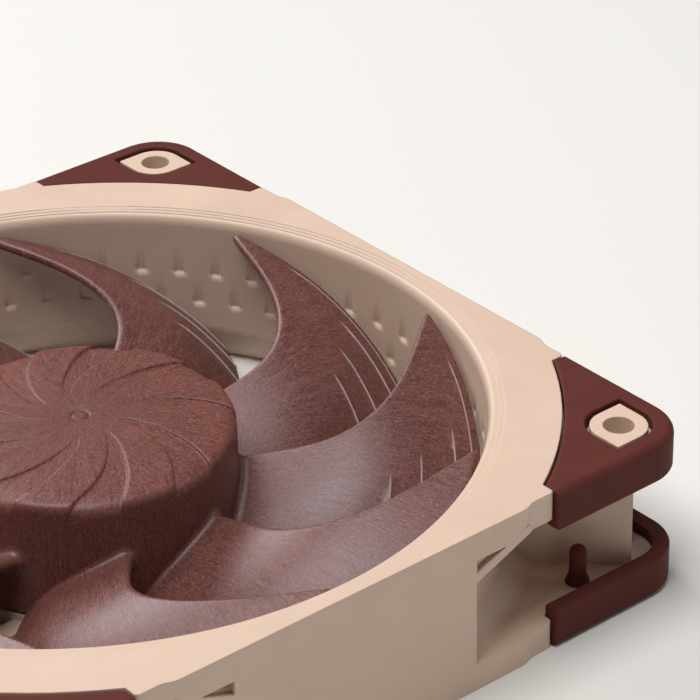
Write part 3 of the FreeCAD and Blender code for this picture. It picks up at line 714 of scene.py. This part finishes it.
def blade_section(radius):
    """One closed section, along the upper face and back under it, and where its ribs get a painted highlight.
    """
    span = (radius - HUB) / (TIP - HUB)
    flare = drawn_in(ROOT_FILLET, ROOT_FILLET - min(max(radius - HUB, 0.0), ROOT_FILLET))
    inset = drawn_in(TIP_ROUND, max(0.0, radius - (TIP - TIP_ROUND)))
    swept = drawn_in(TIP_CORNER, max(0.0, radius - (TIP - TIP_CORNER)))
    (lead, top), (trail, bottom) = leading_edge(span), trailing_edge(span)
    length = math.hypot(math.radians(trail - lead) * radius, bottom - top)
    usable = 1 - (NOSE_REACH + TAIL_REACH) / length

    share = np.concatenate([np.zeros_like(NOSE), STRETCH, np.ones_like(TAIL)])
    bulge = np.concatenate([np.sin(NOSE), np.ones_like(STRETCH), np.sin(TAIL)])
    outward = np.concatenate([np.cos(NOSE), np.zeros_like(STRETCH), -np.cos(TAIL)])
    # the tail starts NOSE_REACH short of the stretch's end, so the skin folds back there
    reach = np.concatenate([
        NOSE_REACH * (1 - np.cos(NOSE)), np.full_like(STRETCH, NOSE_REACH), TAIL_REACH * np.cos(TAIL)
    ])
    grow = inset - flare * (1 - 0.75 * share)
    extra = ROOT_THICKENING * (1 - share) * max(0.0, 1 - 3 * span) ** 2
    thickness = BLADE_THICKNESS - BLADE_THINNING * share + extra
    ribs = rib_height(radius, share) * (bulge > 0.99)
    distance = reach + grow * outward + swept * (1 - share) ** 4
    depths = [thickness / 2 - side * (thickness / 2 - grow) * bulge for side in (1, -1)]
    depths[0] = depths[0] - ribs * (inset == 0)
    upper, lower = (blade_place(radius, distance, share * usable, depth) for depth in depths)
    outline = np.concatenate([upper, lower[1:-1][::-1]])
    return outline, np.concatenate([np.clip(ribs * 4, 0, 1), np.zeros(len(lower) - 2)])


def blade_mesh(name):
    """One blade: rounded nose, thin tail, ribs above, a fillet at the hub and a softened tip."""
    outlines, rib_highlight_masks = zip(*(blade_section(radius) for radius in blade_radii()))
    rows, count = len(outlines), len(outlines[0])
    faces = between_rows(rows, count)
    for base in (0, (rows - 1) * count):
        for upper in range(count // 2):
            lower, lower_after = (count - upper) % count, count - upper - 1
            ring = [base + corner for corner in (upper, upper + 1, lower_after, lower)]
            faces.append(tuple(dict.fromkeys(ring)))
    points = np.concatenate(outlines)
    piece = new_object(name, points, faces)
    turn = np.arctan2(points[:, 1], points[:, 0])
    radius = np.hypot(points[:, 0], points[:, 1])
    add_flow(piece, np.stack([radius, turn * FLOW_PER_RADIAN, points[:, 2] * 0.3], -1))
    # marks the ribs' crests, where the blade plastic paints a highlight
    light = piece.data.attributes.new("rib", "FLOAT", "POINT")
    light.data.foreach_set("value", np.concatenate(rib_highlight_masks))
    face_outwards(piece)
    return piece


def add_flow(piece, values):
    """Stores the direction in which the plastic flowed, for its fibres."""
    attribute = piece.data.attributes.new("flow", "FLOAT_VECTOR", "POINT")
    attribute.data.foreach_set("vector", (np.asarray(values) / 1000).ravel())


PETALS = 9
SECTOR = 360 / PETALS
CEILING, BUSHING, BUSHING_TOP = 21.0, 4.0, 22.0
# where a petal starts and the one before it ends: radius and angle in degrees
UP_LINE = (
    (0.0, 50.0), (4.0, 46.5), (7.0, 43.5), (10.2, 37.5), (13.0, 32.3), (16.6, 26.8), (19.4, 22.2),
    (21.65, 18.6),
)
DOWN_LINE = (
    (0.0, 49.5), (3.9, 44.5), (6.4, 36.2), (8.5, 30.2), (11.2, 23.2), (14.3, 16.3), (17.4, 9.2),
    (20.5, 2.0), (21.65, 0.0),
)
# radius and height of the petals, and radius and depth of the strips between them
CROWN = (
    (0.0, 23.40), (5.0, 23.38), (10.0, 23.22), (15.0, 22.97), (18.0, 22.76), (20.0, 22.58), (21.65, 22.42),
)
STEP = ((0.0, 0.0), (5.0, 0.0), (8.0, 0.10), (11.0, 0.22), (15.0, 0.32), (18.0, 0.38), (19.6, 0.38))
# radius, raised height, low height of the rim's rows
RIM = (
    (19.9, 22.50, 22.12), (20.2, 22.46, 22.03), (20.5, 22.40, 21.90), (20.8, 22.31, 21.72),
    (21.05, 22.19, 21.52), (21.25, 22.04, 21.30), (21.42, 21.84, 21.04), (21.54, 21.58, 20.74),
    (21.62, 21.26, 20.4), (21.65, 20.8, 20.0), (21.65, 19.9, 19.5),
)
# radius and height of the gate mark's rings
GATE_MARK = ((1.45, 23.37), (1.32, 23.18), (1.18, 23.18), (1.08, 23.34), (0.95, 23.42), (0.5, 23.44))


def hub_rows():
    """Radius, height and step of the hub's rows: over the crown, down the wall and back inside."""
    rows = [
        (radius, float(curve_through(radius, CROWN)), float(curve_through(radius, STEP)))
        for radius in (1.6, 2.2, 3.2, 4.2, *np.linspace(5.2, 19.6, 25))
    ]
    rows += [(radius, high, high - low) for radius, high, low in RIM]
    rows += [(HUB, float(height), 0.0) for height in np.linspace(18.8, HUB_BOTTOM + 0.3, 8)]
    rows += [(HUB - 0.08, HUB_BOTTOM + 0.08, 0.0), (HUB - 0.3, HUB_BOTTOM, 0.0)]
    rows += [(HUB_INSIDE, HUB_BOTTOM, 0.0), (HUB_INSIDE, CEILING, 0.0)]
    return rows + [(BUSHING, CEILING, 0.0), (BUSHING, BUSHING_TOP, 0.0)]


def petal_ring(radius):
    """Angles round the hub at a radius, each with its share of the step: 0 on a petal, 1 between two."""
    up = float(curve_through(radius, UP_LINE))
    down = min(float(curve_through(radius, DOWN_LINE)) + SECTOR, up + SECTOR - 0.8)
    ease = math.degrees(0.10 / max(radius, 2.0))
    raised, recess = np.linspace(0, 1, 17), np.linspace(0, 1, 15)
    ring = []
    for sector in range(PETALS):
        start, end = up + SECTOR * sector, down + SECTOR * sector
        ring += [(angle, 0.0) for angle in start + ease + (down - up - 2 * ease) * raised]
        ring += [(end - 0.2 * ease, 0.25), (end + 0.3 * ease, 0.85)]
        ring += [(angle, 1.0) for angle in end + ease + (SECTOR - (down - up) - 2 * ease) * recess]
        ring += [(start + SECTOR - 0.3 * ease, 0.85), (start + SECTOR + 0.2 * ease, 0.25)]
    return ring


def hub_mesh(name):
    """The hub: nine swept petals on its crown, a gate mark, a plain wall and a hollow underside."""
    flow_per_radian = 12
    rows = hub_rows()
    points, flows = [], []
    for radius, height, step in rows:
        for angle, share in petal_ring(radius):
            bearing = math.radians(angle)
            z = height - step * share
            points.append((radius * math.cos(bearing), radius * math.sin(bearing), z))
            on_wall = radius > HUB - 0.4
            flow = (z, radius * bearing) if on_wall else (radius, bearing * flow_per_radian)
            flows.append((*flow, 0.0))
    count = len(points) // len(rows)
    faces = between_rows(len(rows), count)
    previous = 0
    for radius, height in GATE_MARK:
        base = len(points)
        for x, y, _ in points[:count]:
            bearing = math.atan2(y, x)
            points.append((radius * math.cos(bearing), radius * math.sin(bearing), height))
            flows.append((radius, bearing * flow_per_radian, 0.0))
        for index in range(count):
            after = (index + 1) % count
            faces.append((previous + index, previous + after, base + after, base + index))
        previous = base
    faces.append(tuple(previous + index for index in range(count)))
    last = (len(rows) - 1) * count
    faces.append(tuple(last + index for index in reversed(range(count))))
    piece = new_object(name, points, faces)
    add_flow(piece, flows)
    face_outwards(piece)
    return piece


# Painted light: the hub gets a lighter copy of the blades' plastic, standing for the light on its upturned
# crown.
HUB_PAINTED_LIGHT = 1.16
BLADE_SHINE, HUB_SHINE = 0.62, 0.36


class FAN_OT_impeller(bpy.types.Operator):
    """Make the impeller: nine blades and a hub with a swept crown"""

    bl_idname = "case_fan.impeller"
    bl_label = "Impeller"

    def execute(self, context):
        sizes, colours = context.scene.fan_sizes, context.scene.fan_colours
        # painted light: the hub's colour is the impeller colour made lighter
        hub_colour = rgba(colours.impeller_plastic, HUB_PAINTED_LIGHT)[:3]
        blades = blade_mesh("impeller_blades")
        blade_material = fibre_plastic("blade plastic", colours.impeller_plastic, BLADE_SHINE)
        repeat_round(blades, sizes.blade_count, blade_material)
        shade(blades, 50, weighted=False)
        hub = hub_mesh("impeller_hub")
        hub.data.materials.append(fibre_plastic("hub plastic", hub_colour, HUB_SHINE))
        shade(hub, 78, weighted=False)
        finish_piece(blades, ROTOR_BODY, "impeller_plastic", "impeller")
        finish_piece(hub, ROTOR_BODY, "impeller_plastic")
        return {"FINISHED"}


# ---- motor ----

COIL_START, COIL_END, COIL_MIDDLE = 7.8, 13.0, 10.7
COIL_WIDTH, COIL_HEIGHT, COIL_FILLET = 8.6, 10.0, 1.2
# colour, roughness, stretch of the grain, scale of the grain
METALS = {
    "yoke_steel": ((0.56, 0.56, 0.58), 0.34, (1, 1, 0.05), 900.0),
    "shaft_steel": ((0.62, 0.62, 0.64), 0.20, (1, 1, 12), 700.0),
    "brass": ((0.78, 0.56, 0.24), 0.30, (1, 1, 9), 800.0),
    "bronze": ((0.55, 0.33, 0.17), 0.42, (1, 1, 1), 2600.0),
    "lamination_steel": ((0.42, 0.43, 0.45), 0.45, (0.02, 0.02, 4), 2000.0),
    "solder": ((0.70, 0.70, 0.68), 0.35, (1, 1, 1), 1500.0),
    "copper_wire": ((0.72, 0.30, 0.13), 0.28, (1, 1, 1), 1800.0),
}
PLASTICS = {
    "magnet_ferrite": ((0.045, 0.042, 0.042), 0.62),
    "bobbin_plastic": ((0.55, 0.50, 0.40), 0.40),
    "chip_plastic": ((0.03, 0.03, 0.032), 0.45),
    "washer_plastic": ((0.70, 0.68, 0.62), 0.35),
    "label_film": ((0.09, 0.085, 0.082), 0.38),
    "board": ((0.03, 0.13, 0.055), 0.35),
}


def closed_loop(width, height, fillet, section):
    """A closed section, in (along, outward) pairs, swept round a rounded rectangle across the X axis."""
    stations = []
    for corner, (side, up) in enumerate(((1, 1), (-1, 1), (-1, -1), (1, -1))):
        centre = (side * (width / 2 - fillet), up * (height / 2 - fillet))
        for turn in np.radians(np.linspace(0, 90, 6)) + corner * math.pi / 2:
            stations.append((*centre, math.cos(turn), math.sin(turn)))
    points = [
        (along, y + (fillet + outward) * across, z + (fillet + outward) * rise)
        for y, z, across, rise in stations
        for along, outward in section
    ]
    return points, between_rows(len(stations), len(section), closed=True)


def along_the_arm():
    """A tree that lays turns of wire side by side along an arm and adds the copper inside them."""
    tree, nodes, given = new_group("Turns along an arm", [
        ("Turns", "NodeSocketInt", 14),
        ("Pitch", "NodeSocketFloat", 0.0004),
        ("Inside", "NodeSocketObject", None),
        ("Material", "NodeSocketMaterial", None),
    ])
    points = nodes.add("GeometryNodePoints", {}, {"Count": given["Turns"]})
    index = nodes.add("GeometryNodeInputIndex")
    offset = nodes.add("ShaderNodeCombineXYZ", {}, {"X": index * given["Pitch"]})
    spaced = nodes.add("GeometryNodeSetPosition", {}, {"Geometry": points, "Offset": offset})
    turns = nodes.add("GeometryNodeInstanceOnPoints", {}, {"Points": spaced, "Instance": given["Shape"]})
    inside = nodes.add("GeometryNodeObjectInfo", {}, {"Object": given["Inside"]}, output="Geometry")
    both = nodes.add("GeometryNodeJoinGeometry", {}, {"Geometry": turns})
    nodes.tree.links.new(inside.socket, both.socket.node.inputs["Geometry"])
    end_group(nodes, both, given["Material"])
    return tree


def coil_windings(turns, material):
    """The four coils: turns of wire round each arm, with copper inside them."""
    pitch = (COIL_END - COIL_START) / turns
    ring = np.radians(np.arange(0, 360, 45))
    wire = [(pitch / 2 * math.sin(angle), pitch / 2 * math.cos(angle) - pitch / 2) for angle in ring]
    length = COIL_END - COIL_START - pitch
    solid = [(0.0, -pitch), (0.0, -pitch / 2), (length, -pitch / 2), (length, -pitch)]
    piece = new_object("coil_windings", *closed_loop(COIL_WIDTH, COIL_HEIGHT, COIL_FILLET, wire))
    inside = new_object("coil_inside", *closed_loop(COIL_WIDTH, COIL_HEIGHT, COIL_FILLET, solid))
    values = {"Turns": turns, "Pitch": pitch / 1000, "Inside": inside, "Material": material}
    run_tree(piece, along_the_arm(), values)
    bpy.data.objects.remove(inside)
    piece.data.transform(Matrix.Translation(Vector((COIL_START + pitch / 2, 0, COIL_MIDDLE)) / 1000))
    repeat_round(piece, CORNERS, material)
    face_outwards(piece)
    return piece


class FAN_OT_motor(bpy.types.Operator):
    """Wind the four coils and give the motor's other parts their finishes"""

    bl_idname = "case_fan.motor"
    bl_label = "Motor"

    def execute(self, context):
        made = {}
        for slot, (colour, rough, stretch, scale) in METALS.items():
            made[slot] = metal(slot.replace("_", " "), colour, rough, stretch, scale)
        for slot, (colour, rough) in PLASTICS.items():
            made[slot] = moulded_plastic(slot.replace("_", " "), colour, rough)
        outside = ("frame_plastic", "pad_rubber", "impeller_plastic")
        for part in frame["record"]["subparts"]:
            if part["material_slot"] in outside:
                continue
            mesh = frame["nodes"][part["node"]].data
            mesh.materials.clear()
            mesh.materials.append(made[part["material_slot"]])
        piece = coil_windings(context.scene.fan_sizes.turn_count, made["copper_wire"])
        shade(piece, 50)
        finish_piece(piece, STATIC_BODY, "copper_wire", "coil_1", "coil_2", "coil_3", "coil_4")
        return {"FINISHED"}


# ---- stage ----

# name, place and size in metres, power in watts
LAMPS = (
    ("left light", (-0.95, -0.05, 0.65), 0.7, 8.5),
    ("top light", (0.0, -0.28, 1.15), 0.8, 14.0),
    ("side light", (1.2, -0.25, 0.2), 0.6, 0.7),
    ("right light", (0.5, 0.9, 0.55), 0.6, 1.2),
)
LAMP_COLOUR = (1.0, 0.99, 0.97)
SKY_COLOUR, SKY_STRENGTH = (1.0, 0.985, 0.97, 1.0), 0.10
FLOOR_REACH = 4000.0
# bearing round the fan, height above it and roll in degrees, and place in metres
CAMERA_ANGLES = (50.695, 30.375, -1.075)
CAMERA_PLACE = (0.318896, -0.212614, 0.256535)
CAMERA_LENS, CAMERA_SENSOR = 166.3, 36.0


def studio_floor(colour):
    """A wide matt floor under the fan."""
    material, nodes = new_material("studio floor")
    clouds = nodes.level(nodes.noise(place_of(nodes), 3.0, 3.0, 0.5), 0.3, 0.7)
    tone = nodes.tint(clouds * 0.5, rgba(colour), rgba(colour, 0.96))
    surface(nodes, tone, 0.7 + clouds * 0.05)
    corners = [(x * FLOOR_REACH, y * FLOOR_REACH, 0) for x, y in ((-1, -1), (1, -1), (1, 1), (-1, 1))]
    return new_object("floor", corners, [(0, 1, 2, 3)], material)


def studio_sky(scene):
    """Faint even light from all round."""
    world = bpy.data.worlds.new("studio")
    scene.world = world
    world.use_nodes = True
    sky = world.node_tree.nodes["Background"]
    sky.inputs["Color"].default_value = SKY_COLOUR
    sky.inputs["Strength"].default_value = SKY_STRENGTH


def lamp(scene, name, place, size, power):
    """A soft square light that faces the fan."""
    light = bpy.data.lights.new(name, "AREA")
    light.shape = "SQUARE"
    light.size = size
    light.energy = power
    light.color = LAMP_COLOUR
    item = bpy.data.objects.new(name, light)
    scene.collection.objects.link(item)
    item.location = place
    item.rotation_euler = (-Vector(place)).to_track_quat("-Z", "Y").to_euler()


def studio_camera(scene):
    """The camera, turned by its bearing, height and roll."""
    bearing, height, roll = (math.radians(angle) for angle in CAMERA_ANGLES)
    level = math.cos(height)
    back = Vector((math.sin(bearing) * level, -math.cos(bearing) * level, math.sin(height)))
    right = Vector((math.cos(bearing), math.sin(bearing), 0))
    up = back.cross(right)
    turned_right = right * math.cos(roll) + up * math.sin(roll)
    turned_up = up * math.cos(roll) - right * math.sin(roll)
    camera = bpy.data.cameras.new("camera")
    camera.lens = CAMERA_LENS
    camera.sensor_width = CAMERA_SENSOR
    camera.clip_start = 0.01
    camera.clip_end = 20.0
    eye = bpy.data.objects.new("camera", camera)
    scene.collection.objects.link(eye)
    turn = Matrix((turned_right, turned_up, back)).transposed().to_4x4()
    eye.matrix_world = Matrix.Translation(CAMERA_PLACE) @ turn
    scene.camera = eye


class FAN_OT_stage(bpy.types.Operator):
    """Make the floor, the lights and the camera"""

    bl_idname = "case_fan.stage"
    bl_label = "Stage"

    def execute(self, context):
        scene = context.scene
        studio_floor(scene.fan_colours.floor)
        studio_sky(scene)
        for name, place, size, power in LAMPS:
            lamp(scene, name, place, size, power)
        studio_camera(scene)
        scene.view_settings.view_transform = "Standard"
        return {"FINISHED"}


class FAN_PT_parts(bpy.types.Panel):
    """The fan's sizes, colours and operators"""

    bl_idname = "FAN_PT_parts"
    bl_label = "Case fan"
    bl_space_type = "VIEW_3D"
    bl_region_type = "UI"
    bl_category = "Fan"

    def draw(self, context):
        for group in (context.scene.fan_sizes, context.scene.fan_colours):
            box = self.layout.box()
            for name in group.bl_rna.properties.keys():
                if name not in ("rna_type", "name"):
                    box.prop(group, name)
        for operator in OPERATORS:
            self.layout.operator(operator.bl_idname)


OPERATORS = (FAN_OT_frame, FAN_OT_pads, FAN_OT_impeller, FAN_OT_motor, FAN_OT_stage)
CLASSES = (FanSizes, FanColours, *OPERATORS, FAN_PT_parts)


def register():
    """Adds the classes and the settings to Blender."""
    for item in CLASSES:
        bpy.utils.register_class(item)
    bpy.types.Scene.fan_sizes = PointerProperty(type=FanSizes)
    bpy.types.Scene.fan_colours = PointerProperty(type=FanColours)


def unregister():
    """Takes them away again."""
    del bpy.types.Scene.fan_colours
    del bpy.types.Scene.fan_sizes
    for item in reversed(CLASSES):
        bpy.utils.unregister_class(item)


def main():
    """Makes every piece in order."""
    register()
    bpy.ops.case_fan.frame()
    bpy.ops.case_fan.pads()
    bpy.ops.case_fan.impeller()
    bpy.ops.case_fan.motor()
    bpy.ops.case_fan.stage()


if __name__ == "__main__":
    main()
